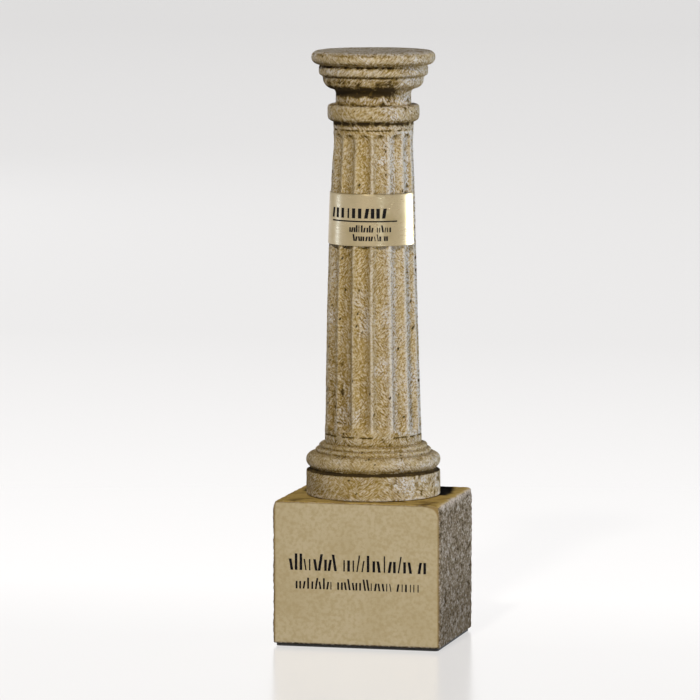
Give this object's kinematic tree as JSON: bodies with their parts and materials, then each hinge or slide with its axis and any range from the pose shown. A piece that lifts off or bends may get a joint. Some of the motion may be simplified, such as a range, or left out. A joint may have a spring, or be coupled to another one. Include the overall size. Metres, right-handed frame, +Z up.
{
  "type": "doric column trophy",
  "caption": "Small cast-stone Roman Doric column with a metal name plate, on a rectangular cast-stone block with a felt pad.",
  "frame": {"origin": "centre of the felt pad's underside, on the column's axis", "axes": "+Z up along the column; the block's plate side faces -Y"},
  "size_m": [0.0738, 0.064, 0.254],
  "materials": {
    "cast_stone": "matte",
    "honed_stone": "matte",
    "gold_metal": "satin",
    "black_felt": "matte"
  },
  "bodies": {
    "root": {"column": "cast_stone", "base_block": "honed_stone", "name_plate": "gold_metal", "felt_pad": "black_felt"}
  },
  "joints": []
}
